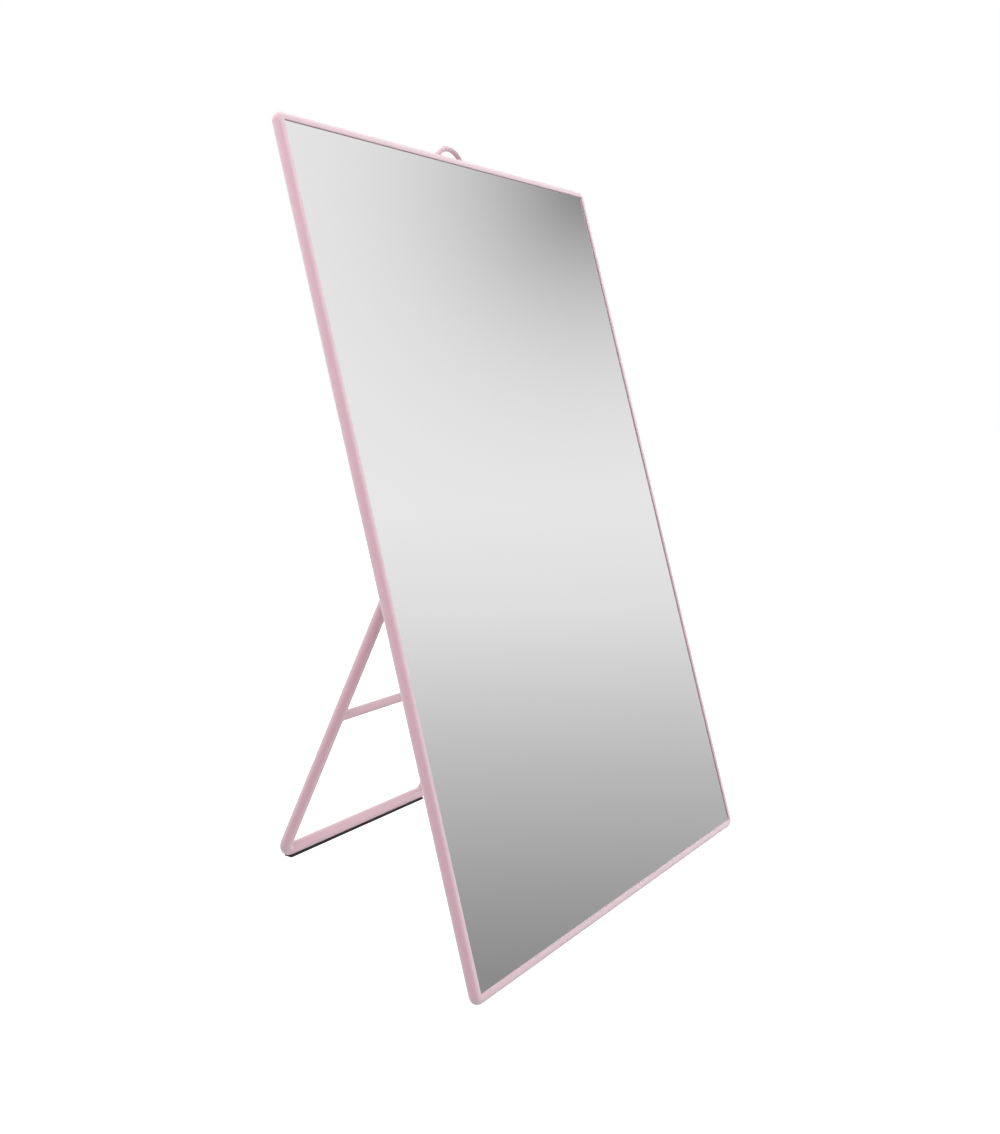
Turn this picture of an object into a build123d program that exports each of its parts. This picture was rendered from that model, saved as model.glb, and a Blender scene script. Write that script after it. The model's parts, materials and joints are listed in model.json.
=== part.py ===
from build123d import *
import os
from math import cos, radians, sin, sqrt, tan

# Table mirror: a rectangular looking glass in a thin rolled steel rim, with a wire hanging loop
# at the top and a hinged rod leg behind that folds flat against the back. It is drawn standing
# open. +Z is up, +X is to the right and the glass looks towards -Y. The origin is on the table,
# under the middle of the whole footprint. All sizes are in millimetres.

os.makedirs("parts", exist_ok=True)

# Mirror head, measured across and up its own leaning face
mirror_w = 200.0
mirror_h = 300.0
lean = 16.0             # how far the face leans back from upright, in degrees

# Rolled rim: a U channel with a half-round outer edge
rim_depth = 4.0
rim_sheet = 0.5
rim_lip = 3.2           # from the rim's outer edge to the edge of its lips
rim_corner_r = 3.5

# Sheets held in the channel, front to back
glass_t = 2.0
coat_t = 0.1
liner_t = 0.4
panel_t = 0.5
sheet_edge_gap = 0.2
sheet_corner_r = 1.5
joiner_l = 36.0
joiner_play = 0.1

# Raised pad pressed out of the back panel, which gives the rivets room behind the glass
pad_w = 62.0
pad_h = 74.0
pad_corner_r = 8.0
pad_rise = 2.0
pad_draft = 40.0
pad_edge_r = 0.4

# Hinge
axis_up = 207.1         # hinge axis above the bottom edge, along the face
axis_back = 8.2         # hinge axis behind the middle of the rim
bracket_t = 1.2
bracket_h = 46.0
bracket_corner_r = 3.0
ear_inside = 15.3       # from the middle plane to the inner face of each ear
ear_r = 4.2
ear_base = 13.0
pin_r = 2.0
pin_play = 0.06
pin_head_r = 3.4
pin_head_h = 1.8
pin_tail_r = 2.9
pin_tail_h = 1.2
washer_r = 3.4
washer_t = 1.0
barrel_r = 3.2
barrel_l = 28.0
tab_w = 10.0
tab_l = 9.0
tab_t = 1.2
moving_gap = 0.3

# Bracket rivets
rivet_r = 1.6
rivet_head_r = 2.8
rivet_head_h = 1.0
rivet_tail_r = 2.4
rivet_tail_h = 0.9
rivet_spots = [(-6.0, -17.0), (6.0, -17.0), (-10.5, 17.0), (10.5, 17.0)]

# Leg, measured along and across its own plane
rod_d = 5.15
bar_d = 4.15
leg_l = 206.6           # from the hinge axis to the middle of the foot run
leg_w = 96.0            # across the rails' centre lines at the foot
leg_top_w = 21.3        # across the rails' centre lines at the hinge
bend_r = 4.0
bar_up = 63.0           # cross bar above the foot run

# Rubber strip under the foot run
strip_l = 90.0
strip_w = 4.4
strip_h = 0.95
strip_floor = 0.5       # rubber left under the rod
strip_corner_r = 0.4

# Hanging loop
loop_wire_d = 2.1
loop_r = 9.8
loop_arch_up = 294.9    # where the arch starts, above the bottom edge
loop_tail = 2.0         # straight wire below the arch
loop_lean = 14.6        # how far the arch leans forward from the back of the mirror, in degrees

# Where the pieces stand. The bottom edge of the rim is a half round that rests on the table, and
# the foot of the leg stands behind it on its rubber strip.
nose = rim_depth / 2
lean_cos = cos(radians(lean))
lean_sin = sin(radians(lean))
edge_z = nose * (1 - lean_cos)
axis_y = axis_up * lean_sin + axis_back * lean_cos
axis_z = edge_z + axis_up * lean_cos - axis_back * lean_sin
foot_z = strip_floor + rod_d / 2
leg_drop = axis_z - foot_z
leg_run = sqrt(leg_l**2 - leg_drop**2)
foot_y = axis_y + leg_run
front_y = nose * lean_sin - nose
middle_y = (front_y + foot_y + rod_d / 2) / 2

# front_plane: x right, y up the face, z out of the glass; back_plane: the same plane seen from
# behind, with z out of the back; leg_plane: x right, y up the leg, through the hinge axis
edge_point = (0, -middle_y, edge_z)
axis_point = Vector(0, axis_y - middle_y, axis_z)
front_plane = Plane(origin=edge_point, x_dir=(1, 0, 0), z_dir=(0, -lean_cos, lean_sin))
back_plane = Plane(origin=edge_point, x_dir=(-1, 0, 0), z_dir=(0, lean_cos, -lean_sin))
leg_plane = Plane(origin=axis_point, x_dir=(1, 0, 0), z_dir=(0, -leg_drop, -leg_run))
rearward = Axis(edge_point, back_plane.z_dir)

# Depths behind the middle of the rim
panel_front = -(nose - rim_sheet) + glass_t + coat_t + liner_t
panel_back = panel_front + panel_t
bracket_front = panel_back + pad_rise
bracket_back = bracket_front + bracket_t


def cross_plane(x):
    """Plane square to the hinge axis at x: its own x runs up the face and y out of the glass."""
    origin = axis_point + Vector(x, 0, 0)
    return Plane(origin=origin, x_dir=(0, lean_sin, lean_cos), z_dir=(1, 0, 0))


def sheet_outline():
    """Outline of every sheet in the rim, drawn in the sketch that is open."""
    inset = 2 * (nose + sheet_edge_gap)
    with Locations((0, mirror_h / 2)):
        RectangleRounded(mirror_w - inset, mirror_h - inset, sheet_corner_r)


# ---- Rim ----
rim_x = mirror_w / 2 - nose
rim_top = mirror_h - nose
lip_reach = rim_lip - nose
nose_in = nose - rim_sheet
rim_corners = [(-rim_x, nose), (rim_x, nose), (rim_x, rim_top), (-rim_x, rim_top)]

with BuildPart() as rim_channel:
    with BuildLine(front_plane) as rim_path:
        FilletPolyline(*rim_corners, radius=rim_corner_r - nose, close=True)
    rim_start = rim_path.wire() @ 0
    with BuildSketch(Plane(rim_start, x_dir=front_plane.z_dir, z_dir=rim_path.wire() % 0)):
        with BuildLine():
            ThreePointArc((-nose, 0), (0, nose), (nose, 0))
            Polyline((nose, 0), (nose, -lip_reach), (nose_in, -lip_reach), (nose_in, 0))
            ThreePointArc((nose_in, 0), (0, nose_in), (-nose_in, 0))
            Polyline((-nose_in, 0), (-nose_in, -lip_reach), (-nose, -lip_reach), (-nose, 0))
        make_face()
    sweep(path=rim_path.wire())
rim_channel.part.label = "rim_channel"
export_step(rim_channel.part, "parts/rim_channel.step")

# Half-round key inside the bottom of the rim, across the joint where the channel's ends meet
key_r = nose_in - joiner_play
with BuildPart() as rim_joiner:
    with BuildSketch(Plane.YZ.offset(-joiner_l / 2)):
        with Locations((-middle_y + nose * lean_sin, edge_z + nose * lean_cos)):
            Circle(key_r)
            with Locations(Rot(0, 0, 90 - lean)):
                Rectangle(2 * key_r, 2 * key_r, align=(Align.MIN, Align.CENTER), mode=Mode.SUBTRACT)
    extrude(amount=joiner_l)
rim_joiner.part.label = "rim_joiner"
export_step(rim_joiner.part, "parts/rim_joiner.step")

# ---- Sheets in the rim ----
with BuildPart() as mirror_glass:
    with BuildSketch(back_plane.offset(-nose_in)):
        sheet_outline()
    extrude(amount=glass_t)
mirror_glass.part.label = "mirror_glass"
export_step(mirror_glass.part, "parts/mirror_glass.step")

with BuildPart() as silver_coat:
    with BuildSketch(back_plane.offset(-nose_in + glass_t)):
        sheet_outline()
    extrude(amount=coat_t)
silver_coat.part.label = "silver_coat"
export_step(silver_coat.part, "parts/silver_coat.step")

with BuildPart() as foam_liner:
    with BuildSketch(back_plane.offset(-nose_in + glass_t + coat_t)):
        sheet_outline()
    extrude(amount=liner_t)
foam_liner.part.label = "foam_liner"
export_step(foam_liner.part, "parts/foam_liner.step")

# Back panel, with the raised pad as a shell of the panel's own thickness
pad_inset = panel_t * (1 / cos(radians(pad_draft)) - tan(radians(pad_draft)))
with BuildPart() as back_panel:
    with BuildSketch(back_plane.offset(panel_front)):
        sheet_outline()
    extrude(amount=panel_t)
    with BuildSketch(back_plane.offset(panel_back)):
        with Locations((0, axis_up)):
            RectangleRounded(pad_w, pad_h, pad_corner_r)
    extrude(amount=pad_rise, taper=pad_draft)
    pad_rim = back_panel.faces().sort_by(rearward)[-1].edges()
    fillet(pad_rim, radius=pad_edge_r)
    with BuildSketch(back_plane.offset(panel_front)):
        with Locations((0, axis_up)):
            RectangleRounded(pad_w - 2 * pad_inset, pad_h - 2 * pad_inset, pad_corner_r - pad_inset)
    extrude(amount=pad_rise, taper=pad_draft, mode=Mode.SUBTRACT)
    with BuildSketch(back_plane.offset(panel_front)):
        with Locations((0, axis_up)):
            with Locations(*rivet_spots):
                Circle(rivet_r)
    extrude(amount=pad_rise + panel_t, mode=Mode.SUBTRACT)
back_panel.part.label = "back_panel"
export_step(back_panel.part, "parts/back_panel.step")

# ---- Hanging loop ----
# A bent wire arch, coped and welded to the back of the rim, that leans forward over its top edge
loop_back = nose + loop_wire_d / 2
loop_foot = front_plane.from_local_coords(Vector(0, loop_arch_up, -loop_back))
loop_cos = cos(radians(lean - loop_lean))
loop_sin = sin(radians(lean - loop_lean))
loop_plane = Plane(origin=loop_foot, x_dir=(1, 0, 0), z_dir=(0, -loop_cos, loop_sin))

with BuildPart() as hanging_loop:
    with BuildLine(loop_plane) as loop_path:
        Line((loop_r, -loop_tail), (loop_r, 0))
        ThreePointArc((loop_r, 0), (0, loop_r), (-loop_r, 0))
        Line((-loop_r, 0), (-loop_r, -loop_tail))
    with BuildSketch(Plane(loop_path.wire() @ 0, z_dir=loop_path.wire() % 0)):
        Circle(loop_wire_d / 2)
    sweep(path=loop_path.wire())
    with BuildSketch(cross_plane(-2 * loop_r)):
        with Locations((rim_top - axis_up, axis_back)):
            Circle(nose)
            Rectangle(lip_reach, rim_depth, align=(Align.MAX, Align.CENTER))
    extrude(amount=4 * loop_r, mode=Mode.SUBTRACT)
    add(back_panel.part, mode=Mode.SUBTRACT)
hanging_loop.part.label = "hanging_loop"
export_step(hanging_loop.part, "parts/hanging_loop.step")

# ---- Hinge bracket, rivets, pin and washers ----
ear_outside = ear_inside + bracket_t
with BuildPart() as hinge_bracket:
    with BuildSketch(back_plane.offset(bracket_front)):
        with Locations((0, axis_up)):
            RectangleRounded(2 * ear_outside, bracket_h, bracket_corner_r)
            with Locations(*rivet_spots):
                Circle(rivet_r, mode=Mode.SUBTRACT)
    extrude(amount=bracket_t)
    for ear_start in (-ear_outside, ear_inside):
        with BuildSketch(cross_plane(ear_start)) as ear:
            Circle(ear_r)
            with Locations((0, axis_back - bracket_front - bracket_t / 2)):
                Rectangle(ear_base, bracket_t)
            make_hull()
            Circle(pin_r, mode=Mode.SUBTRACT)
        extrude(amount=bracket_t)
hinge_bracket.part.label = "hinge_bracket"
export_step(hinge_bracket.part, "parts/hinge_bracket.step")

with BuildPart() as bracket_rivets:
    with BuildSketch(back_plane.offset(bracket_back)):
        with Locations((0, axis_up)):
            with Locations(*rivet_spots):
                Circle(rivet_head_r)
    extrude(amount=rivet_head_h)
    crowns = bracket_rivets.faces().group_by(rearward)[-1].edges()
    fillet(crowns, radius=0.8 * rivet_head_h)
    with BuildSketch(back_plane.offset(bracket_front - panel_t)):
        with Locations((0, axis_up)):
            with Locations(*rivet_spots):
                Circle(rivet_r)
    extrude(amount=panel_t + bracket_t)
    with BuildSketch(back_plane.offset(bracket_front - panel_t - rivet_tail_h)):
        with Locations((0, axis_up)):
            with Locations(*rivet_spots):
                Circle(rivet_tail_r)
    extrude(amount=rivet_tail_h)
bracket_rivets.part.label = "bracket_rivets"
export_step(bracket_rivets.part, "parts/bracket_rivets.step")

with BuildPart() as hinge_pin:
    with BuildSketch(cross_plane(-ear_outside)):
        Circle(pin_r)
    extrude(amount=2 * ear_outside)
    with BuildSketch(cross_plane(ear_outside)):
        Circle(pin_head_r)
    extrude(amount=pin_head_h)
    fillet(hinge_pin.faces().sort_by(Axis.X)[-1].edges(), radius=0.85 * pin_head_h)
    with BuildSketch(cross_plane(-ear_outside)):
        Circle(pin_tail_r)
    extrude(amount=-pin_tail_h)
    fillet(hinge_pin.faces().sort_by(Axis.X)[0].edges(), radius=0.8 * pin_tail_h)
hinge_pin.part.label = "hinge_pin"
export_step(hinge_pin.part, "parts/hinge_pin.step")

with BuildPart() as hinge_washers:
    for washer_start in (-ear_inside, ear_inside - washer_t):
        with BuildSketch(cross_plane(washer_start)):
            Circle(washer_r)
            Circle(pin_r + pin_play, mode=Mode.SUBTRACT)
        extrude(amount=washer_t)
hinge_washers.part.label = "hinge_washers"
export_step(hinge_washers.part, "parts/hinge_washers.step")

# ---- Leg ----
# One rod bent to a tapering U; its two ends are coped and welded to the hinge barrel
leg_corners = [(-leg_top_w / 2, 0), (-leg_w / 2, -leg_l), (leg_w / 2, -leg_l), (leg_top_w / 2, 0)]
with BuildPart() as leg_frame:
    with BuildLine(leg_plane) as leg_path:
        FilletPolyline(*leg_corners, radius=bend_r)
    with BuildSketch(Plane(leg_path.wire() @ 0, z_dir=leg_path.wire() % 0)):
        Circle(rod_d / 2)
    sweep(path=leg_path.wire())
    with BuildSketch(cross_plane(-barrel_l / 2)):
        Circle(barrel_r)
    extrude(amount=barrel_l, mode=Mode.SUBTRACT)
leg_frame.part.label = "leg_frame"
export_step(leg_frame.part, "parts/leg_frame.step")

bar_w = leg_w - (leg_w - leg_top_w) * bar_up / leg_l
bar_centre = leg_plane.from_local_coords(Vector(-bar_w / 2, bar_up - leg_l, 0))
with BuildPart() as leg_crossbar:
    with BuildSketch(Plane(bar_centre, z_dir=(1, 0, 0))):
        Circle(bar_d / 2)
    extrude(amount=bar_w)
    add(leg_frame.part, mode=Mode.SUBTRACT)
leg_crossbar.part.label = "leg_crossbar"
export_step(leg_crossbar.part, "parts/leg_crossbar.step")

with BuildPart() as hinge_barrel:
    with BuildSketch(cross_plane(-barrel_l / 2)):
        Circle(barrel_r)
        Circle(pin_r + pin_play, mode=Mode.SUBTRACT)
    extrude(amount=barrel_l)
hinge_barrel.part.label = "hinge_barrel"
export_step(hinge_barrel.part, "parts/hinge_barrel.step")

# Tab welded to the barrel: it lies flat on the bracket and stops the leg when it is open
with BuildPart() as stop_tab:
    with BuildSketch(back_plane.offset(bracket_back + moving_gap)):
        with Locations((0, axis_up)):
            Rectangle(tab_w, tab_l, align=(Align.CENTER, Align.MIN))
    extrude(amount=tab_t)
    with BuildSketch(cross_plane(-tab_w)):
        Circle(barrel_r)
    extrude(amount=2 * tab_w, mode=Mode.SUBTRACT)
stop_tab.part.label = "stop_tab"
export_step(stop_tab.part, "parts/stop_tab.step")

# Rubber strip, with a groove that takes the underside of the foot run
with BuildPart() as foot_strip:
    with BuildSketch(Plane.XY):
        with Locations((0, foot_y - middle_y)):
            RectangleRounded(strip_l, strip_w, strip_corner_r)
    extrude(amount=strip_h)
    add(leg_frame.part, mode=Mode.SUBTRACT)
foot_strip.part.label = "foot_strip"
export_step(foot_strip.part, "parts/foot_strip.step")

print("hinge axis (mm):", axis_point)
print("foot run (mm): y", round(foot_y - middle_y, 3), "z", round(foot_z, 3))
print("open angle between leg and face:", round(leg_plane.z_dir.get_angle(front_plane.z_dir), 3))
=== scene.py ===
# %% [markdown]
# # A leaning table mirror
# The object is a rectangular looking glass in a thin rolled steel rim. A wire loop at the top hangs
# it on a hook, and a hinged rod leg behind lets it stand on a table. Everything painted is the same
# pale pink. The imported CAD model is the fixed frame: it says where each piece is and how it moves,
# and this lesson makes the surfaces and the finishes that are seen.

# %% Load the frame
import json
from math import acos, atan2, cos, pi, radians, sin, sqrt, tan

import bpy
import numpy as np
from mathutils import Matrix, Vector

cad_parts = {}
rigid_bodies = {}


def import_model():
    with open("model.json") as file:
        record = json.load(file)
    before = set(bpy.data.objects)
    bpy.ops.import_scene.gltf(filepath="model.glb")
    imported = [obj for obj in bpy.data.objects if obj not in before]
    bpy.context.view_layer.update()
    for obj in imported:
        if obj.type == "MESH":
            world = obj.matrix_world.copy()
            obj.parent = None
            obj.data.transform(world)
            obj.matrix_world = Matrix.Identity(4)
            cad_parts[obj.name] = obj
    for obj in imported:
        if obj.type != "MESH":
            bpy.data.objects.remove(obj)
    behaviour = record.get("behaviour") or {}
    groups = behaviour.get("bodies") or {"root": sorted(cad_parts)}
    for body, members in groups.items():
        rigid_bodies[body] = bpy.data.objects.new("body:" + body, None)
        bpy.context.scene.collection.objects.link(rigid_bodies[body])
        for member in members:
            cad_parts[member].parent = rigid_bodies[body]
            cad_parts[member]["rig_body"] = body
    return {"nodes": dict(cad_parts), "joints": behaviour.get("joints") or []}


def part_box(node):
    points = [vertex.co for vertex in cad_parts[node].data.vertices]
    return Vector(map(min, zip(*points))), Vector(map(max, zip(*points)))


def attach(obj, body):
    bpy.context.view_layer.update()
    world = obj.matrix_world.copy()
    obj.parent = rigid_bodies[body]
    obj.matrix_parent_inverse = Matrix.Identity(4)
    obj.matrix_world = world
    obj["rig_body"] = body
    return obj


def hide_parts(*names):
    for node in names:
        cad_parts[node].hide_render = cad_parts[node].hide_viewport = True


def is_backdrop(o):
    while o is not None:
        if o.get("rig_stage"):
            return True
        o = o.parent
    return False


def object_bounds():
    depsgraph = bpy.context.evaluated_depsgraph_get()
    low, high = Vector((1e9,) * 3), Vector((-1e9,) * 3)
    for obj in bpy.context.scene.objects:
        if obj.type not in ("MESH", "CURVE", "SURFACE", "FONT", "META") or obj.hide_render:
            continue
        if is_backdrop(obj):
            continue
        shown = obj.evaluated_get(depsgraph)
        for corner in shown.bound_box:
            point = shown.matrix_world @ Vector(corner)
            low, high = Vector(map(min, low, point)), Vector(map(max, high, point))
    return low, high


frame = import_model()
cad_low, cad_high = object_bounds()
scene = bpy.context.scene

# %% [markdown]
# ## Where things are
# The head leans back, so its pieces are easiest to draw on its own face: x across, then up the face
# from the bottom edge, then back from the middle of the rim. The rim's bottom and top edges are
# half rounds, so the box of its CAD node gives the centre of each, and the line between the two
# centres is the lean. The hinge axis is the joint's own position. The leg gets a frame of its own:
# x across, down the leg, and square to the two rails. Lengths in a local frame are millimetres.

# %% Frames of the head, the hinge and the leg
MM = 0.001
RIM_DEPTH = 4.0
NOSE = RIM_DEPTH / 2  # radius of the rim's half-round outer edge
ROD_R = 2.575


def frame_at(origin, *axes):
    """A local frame: its origin in millimetres, and the directions of its three coordinates."""
    return np.array(origin), np.array(axes)


def placed(points, place):
    """Local millimetres to metres in the shared frame: the origin plus each coordinate times its
    axis."""
    origin, axes = place
    return MM * (origin + points @ axes)


rim_low, rim_high = (np.array(corner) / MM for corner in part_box("rim_channel"))
strip_low, strip_high = (np.array(corner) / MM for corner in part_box("foot_strip"))
leg_low = np.array(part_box("leg_frame")[0]) / MM
axis_point = np.array(frame["joints"][0]["pos_m"]) / MM

across = np.array([1.0, 0.0, 0.0])
bottom_centre = np.array([0.0, rim_low[1] + NOSE, rim_low[2] + NOSE])
top_centre = np.array([0.0, rim_high[1] - NOSE, rim_high[2] - NOSE])
face_up = (top_centre - bottom_centre) / np.linalg.norm(top_centre - bottom_centre)
face_back = np.array([0.0, face_up[2], -face_up[1]])
head = frame_at(bottom_centre - NOSE * face_up, across, face_up, face_back)
mirror_w = rim_high[0] - rim_low[0]
mirror_h = np.linalg.norm(top_centre - bottom_centre) + 2 * NOSE
axis_up, axis_back = ((axis_point - head[0]) @ direction for direction in (face_up, face_back))
hinge = frame_at(axis_point, across, face_up, face_back)

foot_point = np.array([0.0, (strip_low[1] + strip_high[1]) / 2, leg_low[2] + ROD_R])
leg_length = np.linalg.norm(foot_point - axis_point)
leg_down = (foot_point - axis_point) / leg_length
leg = frame_at(axis_point, across, leg_down, np.cross(across, leg_down))
print("lean", round(np.degrees(atan2(face_up[1], face_up[2])), 2), "degrees, glass face",
      round(mirror_w, 1), "x", round(mirror_h, 1), "mm, leg", round(leg_length, 1), "mm")

# %% [markdown]
# ## From arrays to a piece
# A closed surface is a stack of rings: a grid of points whose columns close on themselves. Quads
# join each ring to the next, and the two ends are either joined to each other or each closed with
# one polygon. The sign of the enclosed volume tells which way the faces look, so a shell that is
# inside out is turned by reversing its faces. A piece may hold several such shells.

# %% Shells and pieces
SHARP = radians(38)


def skin(rings, loop=False):
    """A closed shell from a (rings, points, 3) array. Point j of ring i joins j + 1 and ring i + 1;
    with loop the last ring joins the first, and without it the end rings become caps."""
    rows, columns = rings.shape[:2]
    index = np.arange(rows * columns).reshape(rows, columns)
    below, above = (index, np.roll(index, -1, 0)) if loop else (index[:-1], index[1:])
    quads = np.stack([below, np.roll(below, -1, 1), np.roll(above, -1, 1), above], -1)
    faces = quads.reshape(-1, 4).tolist()
    if not loop:
        faces += [index[0, ::-1].tolist(), index[-1].tolist()]
    points = rings.reshape(-1, 3)
    return points, faces if volume(points, faces) > 0 else [face[::-1] for face in faces]


def volume(points, faces):
    """Enclosed volume: one sixth of the sum of a . (b x c) over every face's fan of triangles."""
    fans = np.array([(f[0], f[i], f[i + 1]) for f in faces for i in range(1, len(f) - 1)])
    a, b, c = (points[fans[:, k]] for k in range(3))
    return np.einsum("ij,ij->", a, np.cross(b, c)) / 6


def make_piece(name, node, slot, finish, *shells):
    """One object from closed shells, smooth but for edges sharper than SHARP. It stands for a CAD
    node and rides on that node's body."""
    starts = np.cumsum([0] + [len(points) for points, _ in shells])
    faces = []
    for (_, part), start in zip(shells, starts):
        faces += [[v + start for v in face] for face in part]
    mesh = bpy.data.meshes.new(name)
    mesh.from_pydata(np.concatenate([points for points, _ in shells]).tolist(), [], faces)
    mesh.shade_smooth()
    mesh.set_sharp_from_angle(angle=SHARP)
    mesh.materials.append(finish)
    piece = bpy.data.objects.new(name, mesh)
    scene.collection.objects.link(piece)
    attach(piece, frame["nodes"][node]["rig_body"])
    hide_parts(node)
    print(f"{name}: {len(faces)} faces in {len(shells)} shells")


# %% [markdown]
# ## Profiles and paths
# Nearly every piece is one of four things: a flat plate with a rounded outline, a strip of sheet
# folded to a profile, a rod bent along a path, or something turned. The functions below draw their
# profiles, paths and rings. A bend is always a true arc between two straight runs, as a bending
# tool makes it.

# %% Outlines, bends, tubes and turned shapes
CORNER_STEPS = 14
AROUND = 40  # points round a rod
LEAST_R = 0.02


def rounded_outline(width, height, radius, inset):
    """A rounded rectangle drawn once for each inset: every corner is its centre plus what is left
    of the radius times (cos, sin) over a quarter turn. It starts at the bottom right and goes
    anticlockwise. The radius never falls below LEAST_R, so no two points fall together."""
    inset = np.atleast_1d(inset)[:, None]
    left = np.maximum(radius - inset, LEAST_R)
    turn = np.linspace(0, pi / 2, CORNER_STEPS + 1)
    angle = (np.array([-pi / 2, 0, pi / 2, pi])[:, None] + turn).ravel()
    side_x = np.repeat([1, 1, -1, -1], CORNER_STEPS + 1)
    side_y = np.repeat([-1, 1, 1, -1], CORNER_STEPS + 1)
    x = side_x * (width / 2 - inset - left) + left * np.cos(angle)
    y = side_y * (height / 2 - inset - left) + left * np.sin(angle)
    return np.stack([x, y], -1)


def plate_rings(width, height, radius, profile, centre=(0, 0)):
    """Rings of a plate: profile is rows of (inset from the outline, depth)."""
    profile = np.asarray(profile)
    flat = rounded_outline(width, height, radius, profile[:, 0]) + np.array(centre)
    depth = np.broadcast_to(profile[:, 1, None, None], flat.shape[:2] + (1,))
    return np.concatenate([flat, depth], -1)


def rounded_edge(front, back, radius, steps=4):
    """(inset, depth) round the edge of a sheet: a quarter circle off each face, with a narrow flat
    band inside it that keeps the face flat in the shading."""
    angle = np.linspace(0, pi / 2, steps + 1)
    inset, drop = radius * (1 - np.sin(angle)), radius * (1 - np.cos(angle))
    near = np.stack([inset, front + drop], -1)
    far = np.stack([inset, back - drop], -1)[::-1]
    return np.concatenate([[[2 * radius, front]], near, far, [[2 * radius, back]]])


def bent_path(corners, radius, steps=12):
    """A polyline whose inner corners are arcs: start + r (1 - cos a) n + r sin(a) d, where d is the
    run in and n points across the bend, for a from 0 to the turn."""
    corners = np.asarray(corners, float)
    path = [corners[:1]]
    for before, corner, after in zip(corners, corners[1:], corners[2:]):
        run_in, run_out = (v / np.linalg.norm(v) for v in (corner - before, after - corner))
        turn = acos(run_in @ run_out)
        inward = run_out - (run_in @ run_out) * run_in
        inward /= np.linalg.norm(inward)
        start = corner - radius * tan(turn / 2) * run_in
        a = np.linspace(0, turn, steps + 1)[:, None]
        path.append(start + radius * ((1 - np.cos(a)) * inward + np.sin(a) * run_in))
    return np.concatenate(path + [corners[-1:]])


def tube_rings(path, radius, around=AROUND):
    """Rings of a round rod along a flat path in x and y: centre + r (cos t n + sin t z), where n is
    square to the path in its plane and z is square to the plane."""
    run = np.gradient(path, axis=0)
    run[0], run[-1] = path[1] - path[0], path[-1] - path[-2]
    run /= np.linalg.norm(run, axis=1, keepdims=True)
    turn = np.linspace(0, 2 * pi, around, endpoint=False)
    side = np.stack([run[:, 1], -run[:, 0], np.zeros(len(path))], -1)
    centre = np.pad(path, ((0, 0), (0, 1)))
    ring = side[:, None] * np.cos(turn)[:, None] + np.array([0, 0, 1]) * np.sin(turn)[:, None]
    return centre[:, None] + radius * ring


def turned_rings(profile, around=AROUND):
    """Rings of a turned shape: each (place along the axis, radius) carried round the axis."""
    along, radius = np.asarray(profile, float).T
    turn = np.linspace(0, 2 * pi, around, endpoint=False)
    ring = np.stack([np.cos(turn), np.sin(turn)], -1) * radius[:, None, None]
    place = np.broadcast_to(along[:, None, None], ring.shape[:2] + (1,))
    return np.concatenate([place, ring], -1)


quarter_bend = bent_path([(0, 0), (10, 0), (10, 10)], 4)
print("a run of 10, a bend of radius 4 and a run of 10 are",
      round(np.linalg.norm(np.diff(quarter_bend, axis=0), axis=1).sum(), 2), "long")

# %% [markdown]
# ## Shader maths
# A finish is a small graph of nodes. The class below lets a graph be written as sums: a value is
# one output socket, and adding or multiplying it adds a Math node. Every other node comes from one
# method that sets the node's own settings first and its sockets after.

# %% A socket that can be added and multiplied
class Value:
    """One output of a node graph."""

    def __init__(self, graph, socket):
        self.graph, self.socket = graph, socket

    def math(self, operation, *terms):
        return self.graph.node("ShaderNodeMath", {"operation": operation}, dict(enumerate(terms)))

    def __add__(self, other):
        return self.math("ADD", self, other)

    def __sub__(self, other):
        return self.math("SUBTRACT", self, other)

    def __rsub__(self, other):
        return self.math("SUBTRACT", other, self)

    def __mul__(self, other):
        return self.math("MULTIPLY", self, other)

    def __pow__(self, other):
        return self.math("POWER", self, other)

    __radd__ = __add__
    __rmul__ = __mul__


class Graph:
    """The nodes of one material or of the world."""

    def __init__(self, owner):
        owner.use_nodes = True
        self.tree = owner.node_tree
        self.tree.nodes.clear()

    def node(self, kind, settings, sockets, output=0):
        """Adds a node, sets its settings, then sets or links its sockets. Returns one output, or
        nothing for a node that has none."""
        made = self.tree.nodes.new(kind)
        stops = settings.pop("stops", None)
        for name, value in settings.items():
            setattr(made, name, value)
        if stops:
            self.set_stops(made.color_ramp, stops)
        for key, value in sockets.items():
            if isinstance(value, Value):
                self.tree.links.new(value.socket, made.inputs[key])
            else:
                made.inputs[key].default_value = value
        return Value(self, made.outputs[output]) if len(made.outputs) else None

    @staticmethod
    def set_stops(ramp, stops):
        """stops is rows of (place, grey); the ramp starts with two stops and gets the rest."""
        for _ in stops[2:]:
            ramp.elements.new(0.5)
        for element, (place, grey) in zip(ramp.elements, stops):
            element.position = place
            element.color = (grey, grey, grey, 1)

    def place(self, scale=(1, 1, 1)):
        """Object coordinates in metres, stretched by scale."""
        coordinates = self.node("ShaderNodeTexCoord", {}, {}, "Object")
        return self.node("ShaderNodeMapping", {}, {"Vector": coordinates, "Scale": scale})

    def noise(self, place, per_metre, detail=2.0):
        """Noise with that many lumps in a metre, about 0.5 in the middle."""
        sockets = {"Vector": place, "Scale": per_metre, "Detail": detail}
        return self.node("ShaderNodeTexNoise", {}, sockets)

    def blend(self, factor, low, high):
        """Mix of two colours, each a colour or a link."""
        settings = {"data_type": "RGBA", "clamp_factor": True}
        return self.node("ShaderNodeMix", settings, {0: factor, 6: low, 7: high}, 2)

    def bump(self, height, depth):
        """Normal of a surface whose height, from 0 to 1, is depth metres."""
        sockets = {"Height": height, "Distance": depth, "Strength": 1.0}
        return self.node("ShaderNodeBump", {}, sockets)


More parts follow.
